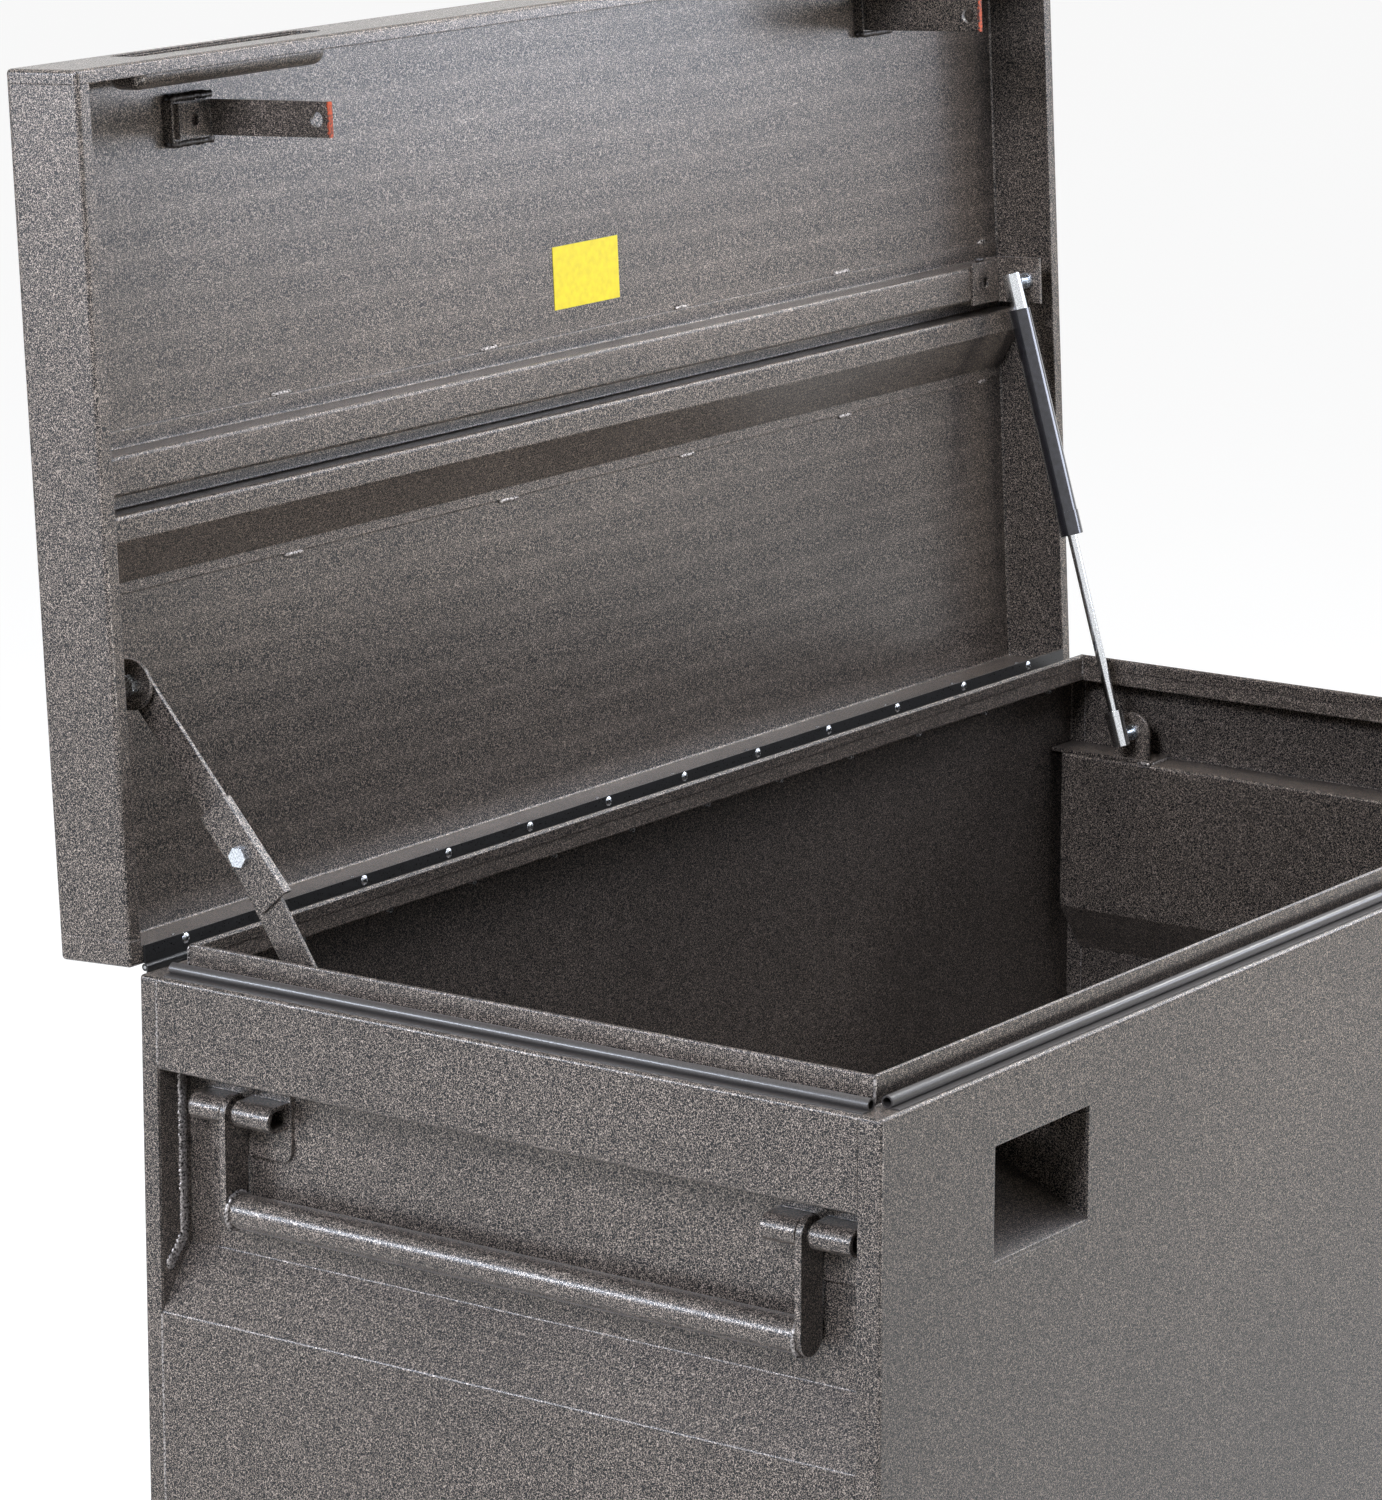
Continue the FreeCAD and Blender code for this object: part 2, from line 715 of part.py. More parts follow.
# Handle at the left end: bracket with a folded sleeve each side of the arm
def handle_bracket(arm_y):
    plate_x1 = left + recess_depth
    plate_x0 = plate_x1 - bracket_wall
    pivot_x = left + pivot_depth
    spans = ((arm_y - sleeve_gap - sleeve_before_arm, sleeve_before_arm),
             (arm_y + arm_wall + sleeve_gap, sleeve_behind_arm))
    y0 = spans[0][0] - bracket_margin
    y1 = sum(spans[1]) + bracket_margin
    shape = rounded_block(plate_x0, plate_x1, y0, y1, pivot_z - bracket_below, pivot_z + bracket_above,
                          bracket_round, lambda edge: edge.BoundBox.XLength > bracket_wall / 2)
    for start, length in spans:
        sleeve = []
        for radius in (pin_radius + pin_play + sleeve_wall, pin_radius + pin_play):
            nose = rod((pivot_x, start, pivot_z), (pivot_x, start + length, pivot_z), radius)
            legs = block(pivot_x, plate_x0, start, start + length, pivot_z - radius, pivot_z + radius)
            sleeve.append(nose.fuse(legs))
        shape = shape.fuse(sleeve[0].cut(sleeve[1]))
    return shape.removeSplitter()


def handle_arm(arm_y):
    x = left + pivot_depth
    radius = arm_width / 2
    arm = block(x - radius, x + radius, arm_y, arm_y + arm_wall, tube_z, pivot_z)
    for z in (tube_z, pivot_z):
        arm = arm.fuse(rod((x, arm_y, z), (x, arm_y + arm_wall, z), radius))
    hole = rod((x, arm_y - past, pivot_z), (x, arm_y + arm_wall + past, pivot_z), pin_radius + bolt_play)
    return arm.removeSplitter().cut(hole)


def handle_pins():
    x = left + pivot_depth
    pins = []
    for arm_y in (front_arm_y, rear_arm_y):
        start = arm_y - sleeve_gap - sleeve_before_arm + pin_end_inset
        stop = arm_y + arm_wall + sleeve_gap + sleeve_behind_arm - pin_end_inset
        pins.append(rod((x, start, pivot_z), (x, stop, pivot_z), pin_radius))
    return Part.makeCompound(pins)


def handle_tube():
    ends = [(left + pivot_depth, y, tube_z) for y in (front_arm_y + arm_wall, rear_arm_y)]
    return rod(*ends, grip_radius).cut(rod(*ends, grip_radius - tube_wall))


# Gas strut
strut_x = right - strut_inset
strut_foot = (rear - strut_foot_from_rear, rim_height - strut_foot_drop)
strut_head = open_point(strut_head_from_axis, strut_head_above_axis)
strut_line = V(0, strut_head[0] - strut_foot[0], strut_head[1] - strut_foot[1])
strut_length = strut_line.Length
strut_line.normalize()
cylinder_start = socket_reach + rod_shown
cylinder_stop = strut_length - socket_reach


def strut_place(distance):
    return V(strut_x, *strut_foot) + strut_line * distance


def strut_rod_piece(start, stop, radius):
    return Part.makeCylinder(radius, stop - start, strut_place(start), strut_line)


# Ball with its poles on the stud's axis, along X
def ball_at(middle, radius):
    return Part.makeSphere(radius, middle, V(1, 0, 0))


def ball_socket(start, stop, ball_distance):
    middle = strut_place(ball_distance)
    neck = Part.makeCylinder(ball_neck_radius + stud_gap, 2 * socket_radius, middle, V(1, 0, 0))
    shape = strut_rod_piece(start, stop, socket_radius)
    return shape.cut(ball_at(middle, ball_radius + ball_play)).cut(neck)


def strut_head_ball():
    middle = strut_place(strut_length)
    neck = Part.makeCylinder(ball_neck_radius, socket_radius, middle, V(1, 0, 0))
    return ball_at(middle, ball_radius).fuse(neck).removeSplitter()


def strut_cylinder():
    inner = cylinder_radius - cylinder_wall
    shape = strut_rod_piece(cylinder_start, cylinder_stop, cylinder_radius)
    shape = shape.fuse(strut_rod_piece(cylinder_start, cylinder_start + gland_length, gland_radius))
    shape = shape.cut(strut_rod_piece(cylinder_start + gland_length, cylinder_stop - cylinder_end, inner))
    bore = strut_rod_piece(cylinder_start - past, cylinder_start + gland_length + past, rod_radius + rod_play)
    return shape.cut(bore).removeSplitter()


def strut_rod_and_piston():
    piston_start = cylinder_start + gland_length + rod_play
    piston_radius = cylinder_radius - cylinder_wall - rod_play
    rod_shape = strut_rod_piece(socket_reach, piston_start, rod_radius)
    return rod_shape, strut_rod_piece(piston_start, piston_start + piston_length, piston_radius)


# Stud that points towards negative x from a plate, up to tip
def stud(plate_x, y, z, tip):
    seat = plate_x - stud_flange_wall
    shank = rod((plate_x, y, z), (plate_x + bracket_plate, y, z), bolt_radius)
    return joined([rod((seat, y, z), (plate_x, y, z), stud_flange_radius), shank,
                   rod((tip, y, z), (seat, y, z), ball_neck_radius)])


def strut_foot_stud():
    plate_x = strut_x + ball_reach
    y, z = strut_foot
    nut_x = plate_x + bracket_plate
    nut = hex_x(nut_x, nut_x + bolt_head, y, z, bolt_flats)
    return joined([stud(plate_x, y, z, strut_x), nut, ball_at(V(strut_x, y, z), ball_radius)])


def strut_foot_bracket():
    plate_x = strut_x + ball_reach
    y, z = strut_foot
    half = strut_foot_plate_width / 2
    base_rear = rear - strut_foot_base_from_rear
    base = block(right - recess_depth, right - shelf_clear, base_rear - strut_foot_base_length, base_rear,
                 shelf_top, shelf_top + bracket_plate)
    upright = block(plate_x, plate_x + bracket_plate, y - half, y + half, shelf_top, z)
    top = rod((plate_x, y, z), (plate_x + bracket_plate, y, z), half)
    return drilled(joined([base, upright, top]), y, z, bolt_radius + bolt_play)


def strut_head_bracket():
    plate_x = strut_x + ball_reach
    y = hinge_y - strut_head_from_axis
    z = hinge_z + strut_head_above_axis
    outer_x = plate_x + bracket_plate
    leg_y = strut_head_leg_width / 2
    plate_y = strut_head_plate_width / 2
    leg = block(outer_x - strut_head_leg, outer_x, y - leg_y, y + leg_y, rib_face - bracket_plate, rib_face)
    plate = block(plate_x, outer_x, y - plate_y, y + plate_y, rib_face - strut_head_plate_drop, rib_face)
    shape = drilled(joined([leg, plate]), y, z, bolt_radius + bolt_play)
    hole_x = plate_x - strut_head_leg / 2
    ends = [(hole_x, y, rib_face + reach) for reach in (-2 * bracket_plate, past)]
    return shape.cut(rod(*ends, bracket_hole))


# The strut's loose end: this stud is flush with its plate, which passes close to the lip
def strut_head_stud():
    tip = strut_x + socket_radius + stud_gap
    return stud(strut_x + ball_reach, hinge_y - strut_head_from_axis, hinge_z + strut_head_above_axis, tip)


# Folding stay: plates side by side in x, from the channel through the lower to the upper link
lower_link_x = left + stay_lower_inset
upper_link_x = lower_link_x + stay_plate + stay_gap
channel_x = lower_link_x - stay_gap - channel_wall
stay_bracket_x = lower_link_x - stay_gap - stay_plate
stay_far_x = upper_link_x + stay_plate
stay_foot = (rear - stay_foot_from_rear, rim_height - stay_foot_drop)
stay_head = open_point(stay_head_from_axis, stay_head_above_axis)
stay_line = V(0, stay_head[0] - stay_foot[0], stay_head[1] - stay_foot[1]).normalize()
stay_across = V(1, 0, 0).cross(stay_line)
elbow_along = math.sqrt(stay_lower_length ** 2 - stay_elbow_set ** 2)
elbow_point = V(0, *stay_foot) + stay_line * elbow_along + stay_across * stay_elbow_set
stay_elbow = (elbow_point.y, elbow_point.z)


def stay_lower_link():
    bar = link(lower_link_x, stay_plate, stay_foot, stay_elbow, lower_link_width)
    for y, z in (stay_foot, stay_elbow):
        bar = drilled(bar, y, z, bolt_radius + bolt_play)
    return bar


def stay_upper_link():
    bar = link(upper_link_x, stay_plate, stay_elbow, stay_head, upper_link_width)
    for y, z in (stay_elbow, stay_head):
        bar = drilled(bar, y, z, bolt_radius + bolt_play)
    return bar


# Plate with one turned edge, fixed on the elbow in line with the upper link; it stops the elbow going over
def stay_channel():
    along = V(0, stay_head[0] - stay_elbow[0], stay_head[1] - stay_elbow[1]).normalize()
    forward = V(1, 0, 0).cross(along)
    middle = V(channel_x, *stay_elbow)
    half = lower_link_width / 2
    lip_inner = half + stay_gap
    lip_outer = lip_inner + channel_wall
    start = middle - along * channel_length / 2
    def strip(low, high, wall):
        corners = [start + forward * low, start + forward * high]
        corners += [corner + along * channel_length for corner in corners[::-1]]
        return prism([tuple(corner) for corner in corners], (wall, 0, 0))
    turned_edge = strip(lip_inner, lip_outer, channel_wall + channel_lip)
    shape = joined([strip(-half, lip_outer, channel_wall), turned_edge])
    return drilled(shape, stay_elbow[0], stay_elbow[1], bolt_radius + bolt_play)


def stay_elbow_bolt():
    y, z = stay_elbow
    head = hex_x(channel_x - bolt_head, channel_x, y, z, bolt_flats)
    shank = rod((channel_x, y, z), (stay_far_x, y, z), bolt_radius)
    return joined([head, shank, hex_x(stay_far_x, stay_far_x + bolt_nut, y, z, bolt_flats)])


def stay_foot_bolt():
    y, z = stay_foot
    far = lower_link_x + stay_plate + stay_gap
    head = hex_x(stay_bracket_x - bolt_head, stay_bracket_x, y, z, bolt_flats)
    shank = rod((stay_bracket_x, y, z), (far, y, z), bolt_radius)
    return joined([head, shank, hex_x(far, far + bolt_nut, y, z, bolt_flats)])


def stay_foot_bracket():
    y, z = stay_foot
    half = stay_foot_plate_width / 2
    base = block(left + shelf_clear, stay_bracket_x + stay_plate, y - stay_foot_base_length / 2,
                 y + stay_foot_base_length / 2, shelf_top, shelf_top + bracket_plate)
    upright = block(stay_bracket_x, stay_bracket_x + stay_plate, y - half, y + half, shelf_top, z)
    top = rod((stay_bracket_x, y, z), (stay_bracket_x + stay_plate, y, z), half)
    return drilled(joined([base, upright, top]), y, z, bolt_radius + bolt_play)


# The stay's loose end: a shouldered nut that stops just short of the lid's bracket
def stay_head_bolt():
    y, z = stay_head
    near = stay_bracket_x + stay_plate + stud_gap
    spacer = rod((near, y, z), (upper_link_x, y, z), spacer_radius)
    shank = rod((upper_link_x, y, z), (stay_far_x, y, z), bolt_radius)
    return joined([spacer, shank, hex_x(stay_far_x, stay_far_x + bolt_nut, y, z, bolt_flats)])


def stay_head_bracket():
    y = hinge_y - stay_head_from_axis
    z = hinge_z + stay_head_above_axis
    half = stay_head_plate_width / 2
    far = stay_bracket_x + stay_plate
    base = block(far - stay_head_base, far, y - half, y + half, panel_inside - bracket_plate, panel_inside)
    upright = block(stay_bracket_x, far, y - half, y + half, z, panel_inside)
    tip = rod((stay_bracket_x, y, z), (far, y, z), half)
    return drilled(joined([base, upright, tip]), y, z, bolt_radius + bolt_play)


def stay_head_screw():
    y = hinge_y - stay_head_from_axis
    z = hinge_z + stay_head_above_axis
    head = hex_x(stay_bracket_x - bolt_head, stay_bracket_x, y, z, bolt_flats)
    return joined([head, rod((stay_bracket_x, y, z), (stay_bracket_x + stay_plate, y, z), bolt_radius)])


os.makedirs("parts", exist_ok=True)


def save(node, shape):
    shape.exportStep("parts/" + node + ".step")
    state = "valid" if shape.isValid() else "INVALID"
    print(node, len(shape.Solids), state, round(shape.Volume / 1000, 2), "cm3")


# Chest
skin = body_skin()
lip = lip_ring()
lock_middle = left + lock_inset
left_end = left_end_panel(skin, lip)
left_pocket = lock_pocket(lock_middle)
front_sheet = panel("front", skin, lip)
for middle in (lock_middle, -lock_middle):
    front_sheet = front_sheet.cut(pocket_opening(middle))
save("front_panel", front_sheet)
save("rear_panel", panel("rear", skin, lip).cut(lower_screw_holes()))
save("left_end_panel", left_end)
save("right_end_panel", mirror_x(left_end))
save("recess_end_plates", Part.makeCompound([recess_plates(), mirror_x(recess_plates())]))
save("floor_panel", floor_panel())
save("left_skid", left_skid())
save("right_skid", mirror_x(left_skid()))
save("left_lock_pocket", left_pocket)
save("right_lock_pocket", mirror_x(left_pocket))
save("left_seal", left_seal())
save("right_seal", mirror_x(left_seal()))
save("front_seal", front_seal())
save("hinge_lower_leaf", lower_leaf())
save("hinge_pin", hinge_pin())
save("hinge_lower_screws", lower_screws())
save("strut_foot_bracket", strut_foot_bracket())
save("strut_foot_stud", strut_foot_stud())
save("stay_foot_bracket", stay_foot_bracket())
save("stay_foot_bolt", stay_foot_bolt())

# Handles and their brackets, the same at both ends
for end, finish in (("left", lambda shape: shape), ("right", mirror_x)):
    save(end + "_front_handle_bracket", finish(handle_bracket(front_arm_y)))
    save(end + "_rear_handle_bracket", finish(handle_bracket(rear_arm_y)))
    save(end + "_handle_tube", finish(handle_tube()))
    save(end + "_handle_front_arm", finish(handle_arm(front_arm_y)))
    save(end + "_handle_rear_arm", finish(handle_arm(rear_arm_y)))
    save(end + "_handle_pins", finish(handle_pins()))

# Lid
save("lid_shell", opened(lid_shell()))
save("lid_left_cap", opened(lid_cap(lid_left, 1)))
save("lid_right_cap", opened(lid_cap(lid_right, -1)))
save("lid_stiffener", opened(lid_stiffener()))
left_arm = lock_arm(lock_middle)
left_pad = lock_arm_pad(lock_middle)
for end, middle in zip(("left", "right"), grip_pan_middles()):
    save(end + "_finger_grip", opened(grip_pan(middle)))
save("left_lock_arm", opened(left_arm))
save("right_lock_arm", opened(mirror_x(left_arm)))
save("lock_arm_pads", opened(Part.makeCompound([left_pad, mirror_x(left_pad)])))
save("lid_label", opened(lid_label()))
save("hinge_upper_leaf", opened(upper_leaf_closed()))
save("hinge_upper_screws", opened(upper_screws_closed()))
save("strut_head_bracket", opened(strut_head_bracket()))
save("strut_head_stud", opened(strut_head_stud()))
save("stay_head_bracket", opened(stay_head_bracket()))
save("stay_head_screw", opened(stay_head_screw()))

# Gas strut
rod_shape, piston = strut_rod_and_piston()
save("strut_rod", rod_shape)
save("strut_piston", piston)
save("strut_rod_socket", ball_socket(-socket_cap, socket_reach, 0))
save("strut_cylinder", strut_cylinder())
save("strut_cylinder_socket", ball_socket(cylinder_stop, strut_length + socket_cap, strut_length))
save("strut_head_ball", strut_head_ball())

# Folding stay
save("stay_lower_link", stay_lower_link())
save("stay_upper_link", stay_upper_link())
save("stay_channel", stay_channel())
save("stay_elbow_bolt", stay_elbow_bolt())
save("stay_head_bolt", stay_head_bolt())
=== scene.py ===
import bpy, json, math, random
from mathutils import Matrix, Vector


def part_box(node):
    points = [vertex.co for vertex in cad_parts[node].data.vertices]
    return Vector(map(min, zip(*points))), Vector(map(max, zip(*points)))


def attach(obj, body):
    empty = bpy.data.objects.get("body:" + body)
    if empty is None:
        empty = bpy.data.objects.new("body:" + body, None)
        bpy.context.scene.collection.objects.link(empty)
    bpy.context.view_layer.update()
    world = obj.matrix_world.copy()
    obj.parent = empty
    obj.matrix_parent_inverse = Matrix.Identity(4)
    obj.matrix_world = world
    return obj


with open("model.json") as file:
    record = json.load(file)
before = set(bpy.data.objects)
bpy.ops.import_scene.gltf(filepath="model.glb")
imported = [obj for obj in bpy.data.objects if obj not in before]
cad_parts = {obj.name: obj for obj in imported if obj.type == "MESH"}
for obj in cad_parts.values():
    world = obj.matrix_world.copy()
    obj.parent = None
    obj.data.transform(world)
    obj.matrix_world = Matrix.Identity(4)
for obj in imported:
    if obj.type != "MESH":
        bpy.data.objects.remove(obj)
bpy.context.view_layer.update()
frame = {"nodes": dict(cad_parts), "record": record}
nodes = frame["nodes"]
print("chest loaded:", len(nodes), "pieces")


def hexColour(code):  # sRGB hex to the linear values that Blender's shaders take
    values = [int(code[i:i + 2], 16) / 255 for i in (1, 3, 5)]
    return [v / 12.92 if v <= 0.04045 else ((v + 0.055) / 1.055) ** 2.4 for v in values] + [1.0]


def mm(size):
    return size / 1000.0


def perMetre(size):  # texture scale that repeats about every size millimetres
    return 1000.0 / size


# Settings go to the input or the property of that name. Links name an input with _ for a space,
# or give its number, as in _0.
def addNode(tree, kind, settings=None, **links):
    node = tree.nodes.new("ShaderNode" + kind)
    for name, value in (settings or {}).items():
        if name in node.inputs:
            node.inputs[name].default_value = value
        elif name.startswith("_"):
            node.inputs[int(name[1:])].default_value = value
        else:
            setattr(node, name, value)
    for name, source in links.items():
        spaced = name.replace("_", " ")
        tree.links.new(source, node.inputs[spaced if spaced in node.inputs else int(name[1:])])
    return node


def newMaterial(name):
    material = bpy.data.materials.new(name)
    material.use_nodes = True
    tree = material.node_tree
    tree.nodes.clear()
    return material, tree


def closeMaterial(tree, shader):
    addNode(tree, "OutputMaterial", Surface=shader.outputs["BSDF"])


def setRamp(ramp, stops):
    stops = list(stops)
    elements = ramp.color_ramp.elements
    while len(elements) < len(stops):
        elements.new(0.5)
    for element, (place, colour) in zip(elements, stops):
        element.position = place
        element.color = hexColour(colour)


# Hammertone powder coat on mild steel, sprayed and baked. The paint draws back into dark dimples and
# leaves its aluminium flake in their rims, so the eye sees a fine light maze on near-black that
# sparkles, under a clear gloss that runs in white lines along the bends.
hammertone = dict(
    dimple=1.5,                                       # mm across, from rim to rim
    rim="#c0b0a1", flank="#251e19", hollow="#020202",
    flankAt=0.04, hollowAt=0.09, roughAt=0.12,        # how far from the rim, in units of the noise
    cloud=260, cloudShade=(0.86, 1.1),                # mm across the paint's uneven patches, and their tone
    metallic=0.15, specular=0.3, depth=0.34,          # flake and dimples; depth in mm
    rimRoughness=0.24, hollowRoughness=0.4,
    lacquer=0.4, lacquerRoughness=0.24, ripple=0.12,  # the clear gloss lies smoother than the flake
    bend=1.5,                                         # mm of rounding that the light sees at an edge
)
noiseSpan = {"From Min": 0.3, "From Max": 0.7}  # where nearly all values of a noise lie


def hammertonePaint(name, look):
    material, tree = newMaterial(name)
    place = addNode(tree, "TexCoord").outputs["Object"]
    speck = addNode(tree, "TexNoise", {"Scale": perMetre(look["dimple"]), "Detail": 1.0, "Roughness": 0.5},
                    Vector=place)
    # the noise's middle level runs through the paint as a maze of closed lines: the dimples' rims
    off = addNode(tree, "Math", {"operation": "SUBTRACT", "_1": 0.5}, _0=speck.outputs["Fac"])
    rim = addNode(tree, "Math", {"operation": "ABSOLUTE"}, _0=off.outputs[0])
    cloud = addNode(tree, "TexNoise", {"Scale": perMetre(look["cloud"]), "Detail": 2.0}, Vector=place)
    ramp = addNode(tree, "ValToRGB", Fac=rim.outputs[0])
    setRamp(ramp, [(0.0, look["rim"]), (look["flankAt"], look["flank"]), (look["hollowAt"], look["hollow"])])
    darkest, lightest = look["cloudShade"]
    shade = addNode(tree, "MapRange", {**noiseSpan, "To Min": darkest, "To Max": lightest},
                    Value=cloud.outputs["Fac"])
    colour = addNode(tree, "VectorMath", {"operation": "MULTIPLY"},
                     _0=ramp.outputs["Color"], _1=shade.outputs["Result"])
    gloss = addNode(tree, "MapRange", {"From Min": 0.0, "From Max": look["roughAt"],
                                       "To Min": look["rimRoughness"], "To Max": look["hollowRoughness"]},
                    Value=rim.outputs[0])
    rounded = addNode(tree, "Bevel", {"samples": 6, "Radius": mm(look["bend"])})
    dimples, lacquer = [addNode(tree, "Bump", {"Strength": 1.0, "Distance": mm(look[height]), "invert": True},
                                Height=rim.outputs[0], Normal=rounded.outputs["Normal"])
                        for height in ("depth", "ripple")]
    shader = addNode(tree, "BsdfPrincipled",
                     {"Metallic": look["metallic"], "Specular IOR Level": look["specular"],
                      "Coat Weight": look["lacquer"], "Coat Roughness": look["lacquerRoughness"]},
                     Base_Color=colour.outputs["Vector"], Roughness=gloss.outputs["Result"],
                     Normal=dimples.outputs["Normal"], Coat_Normal=lacquer.outputs["Normal"])
    closeMaterial(tree, shader)
    return material


fineGrain = dict(depth=0.1, darkAt=0.35, lightAt=0.65, coatRoughness=0.08)  # depth in mm


# A plain metal, plastic or rubber whose colour and gloss wander a little, with a fine grain in the bump
def finishedSurface(name, look):
    material, tree = newMaterial(name)
    place = addNode(tree, "TexCoord").outputs["Object"]
    grain = addNode(tree, "TexNoise", {"Scale": perMetre(look["grain"]), "Detail": 3.0}, Vector=place)
    ramp = addNode(tree, "ValToRGB", Fac=grain.outputs["Fac"])
    setRamp(ramp, [(fineGrain["darkAt"], look["dark"]), (fineGrain["lightAt"], look["light"])])
    gloss = addNode(tree, "MapRange", {**noiseSpan, "To Min": look["roughness"] - look["wander"],
                                       "To Max": look["roughness"] + look["wander"]}, Value=grain.outputs["Fac"])
    rounded = addNode(tree, "Bevel", {"samples": 4, "Radius": mm(look["edge"])})
    bump = addNode(tree, "Bump", {"Strength": look["bump"], "Distance": mm(fineGrain["depth"])},
                   Height=grain.outputs["Fac"], Normal=rounded.outputs["Normal"])
    shader = addNode(tree, "BsdfPrincipled",
                     {"Metallic": look["metallic"], "IOR": look.get("ior", 1.5),
                      "Coat Weight": look.get("coat", 0.0), "Coat Roughness": fineGrain["coatRoughness"]},
                     Base_Color=ramp.outputs["Color"], Roughness=gloss.outputs["Result"],
                     Normal=bump.outputs["Normal"])
    closeMaterial(tree, shader)
    return material


# grain is mm across one patch, edge is mm of rounding that the light sees
surfaces = {
    # Bright zinc electroplate on rolled screws and bolts: a cool, slightly milky metal
    "zincPlate": dict(grain=1.5, dark="#b4bac1", light="#e2e6ea", metallic=1.0, roughness=0.26, wander=0.08,
                      bump=0.1, edge=0.3),
    # Hard chrome on a ground rod: a clean mirror, barely uneven
    "hardChrome": dict(grain=0.8, dark="#c4c8ce", light="#eef0f2", metallic=1.0, roughness=0.1, wander=0.03,
                       bump=0.03, edge=0.2),
    # Black stoving enamel on the drawn steel cylinder: glossy, with crisp long highlights
    "strutEnamel": dict(grain=4.0, dark="#222226", light="#303036", metallic=0.6, roughness=0.15, wander=0.04,
                        bump=0.02, edge=0.4, coat=1.0),
    # Extruded EPDM rubber: dark grey skin with a soft sheen line along the bulb
    "epdmRubber": dict(grain=0.9, dark="#2b2826", light="#403c39", metallic=0.0, roughness=0.4, wander=0.06,
                       bump=0.12, edge=0.3, ior=1.52, coat=0.2),
    # Rolled steel strip under black dip paint, the hinge's leaves: near black, half glossy
    "blackDip": dict(grain=1.2, dark="#141414", light="#232323", metallic=0.1, roughness=0.34, wander=0.08,
                     bump=0.2, edge=0.3),
    # Mild steel turned and left bare: grey and satin
    "turnedSteel": dict(grain=0.6, dark="#8a8c8e", light="#c9cbcd", metallic=1.0, roughness=0.3, wander=0.08,
                        bump=0.1, edge=0.3),
    # Vinyl film, calendered and left plain: even yellow with a slight sheen
    "yellowVinyl": dict(grain=6.0, dark="#c9b404", light="#d6c20c", metallic=0.0, roughness=0.42, wander=0.05,
                        bump=0.05, edge=0.2, ior=1.46),
    # Weld beads sprayed with the sheet: lumps too small for the hammered pattern; their light tone is a painted
    # highlight that stands in for the glints on top of the lumps
    "weldWithPaintedHighlight": dict(grain=1.6, dark="#14110f", light="#b0a8a1", metallic=0.5, roughness=0.3, wander=0.08,
                        bump=0.9, edge=0.3),
    # Weld lumps on the lid's brackets, coloured near black and darker than the sheet
    "darkWeld": dict(grain=1.6, dark="#0d0b0a", light="#3a332e", metallic=0.3, roughness=0.34, wander=0.08,
                     bump=0.9, edge=0.3),
    # Pressed cross recess of a screw: plating in its own shadow, so near black
    "screwRecess": dict(grain=1.0, dark="#0a0a0b", light="#1a1a1c", metallic=0.6, roughness=0.5, wander=0.1,
                        bump=0.1, edge=0.1),
    # Rust and red-brown primer where the paint has rubbed off the arm's tip: dull and orange
    "rustyPrimer": dict(grain=2.2, dark="#2e1a14", light="#b84c24", metallic=0.0, roughness=0.7, wander=0.1,
                        bump=0.4, edge=0.2),
}
materials = {name: finishedSurface(name, look) for name, look in surfaces.items()}
materials["hammertone"] = hammertonePaint("hammertone", hammertone)
print("finishes made:", len(materials))

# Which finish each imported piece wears
wears = {
    "hammertone_paint": "hammertone", "hinge_black": "blackDip", "zinc_plate": "zincPlate",
    "seal_rubber": "epdmRubber", "strut_black": "strutEnamel", "strut_chrome": "hardChrome",
    "plain_steel": "turnedSteel", "label_yellow": "yellowVinyl",
}
dressedAlone = {
    "left_handle_pins": "hammertone", "right_handle_pins": "hammertone",  # painted with the handles
    "strut_rod_socket": "hardChrome", "strut_cylinder_socket": "hardChrome",
}
for subpart in frame["record"]["subparts"]:
    finish = dressedAlone.get(subpart["node"], wears[subpart["material_slot"]])
    for slot in nodes[subpart["node"]].material_slots:
        slot.material = materials[finish]
print("packed pieces painted")


def addMesh(name, points, faces, finish, body, smooth=True):
    mesh = bpy.data.meshes.new(name)
    mesh.from_pydata([tuple(p) for p in points], [], faces)
    mesh.update()
    piece = bpy.data.objects.new(name, mesh)
    bpy.context.scene.collection.objects.link(piece)
    mesh.materials.append(materials[finish])
    for face in mesh.polygons:
        face.use_smooth = smooth
    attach(piece, body)
    return piece


# Where things are on the chest, in millimetres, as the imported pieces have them
chest = dict(
    end=-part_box("left_end_panel")[0].x * 1000, rear=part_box("rear_panel")[1].y * 1000,
    front=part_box("front_panel")[0].y * 1000,
    lipIn=24.5, frontLipIn=21.5, lipWall=3.0,  # outer faces to the lip, and the lip's doubled sheet
)
hinge = next(j for j in frame["record"]["behaviour"]["joints"] if j["name"] == "lid_hinge")
hingePlace = Vector(hinge["pos_m"]) * 1000
lidAngle = math.radians(hinge["range_deg"][1])
lidPanel = 62.1  # hinge axis to the inside of the lid's panel


# A point of the closed lid, in millimetres, turned to where the open lid has it
def onLid(x, fromAxis, aboveAxis):
    turned = Matrix.Rotation(-lidAngle, 3, "X") @ Vector((0, -fromAxis, aboveAxis))
    return hingePlace + Vector((x, turned.y, turned.z))


# Weld beads are drawn as lumpy tubes, half sunk in what they join, and thin out at both ends
bead = dict(
    step=1.1, scallop=3.2,          # mm between rings of points, and from one ripple to the next
    sides=8, swell=0.28, wander=0.22,
    tipShare=0.35, tipGrowth=0.33,  # share of the radius at a tip, and what each ring adds
    slant=(0.31, 0.52, 0.79),       # a direction that no bead runs along
    seed=41,
)
dice = random.Random(bead["seed"])
fullRound = (1, 1, 1)  # a bead squashed in no direction


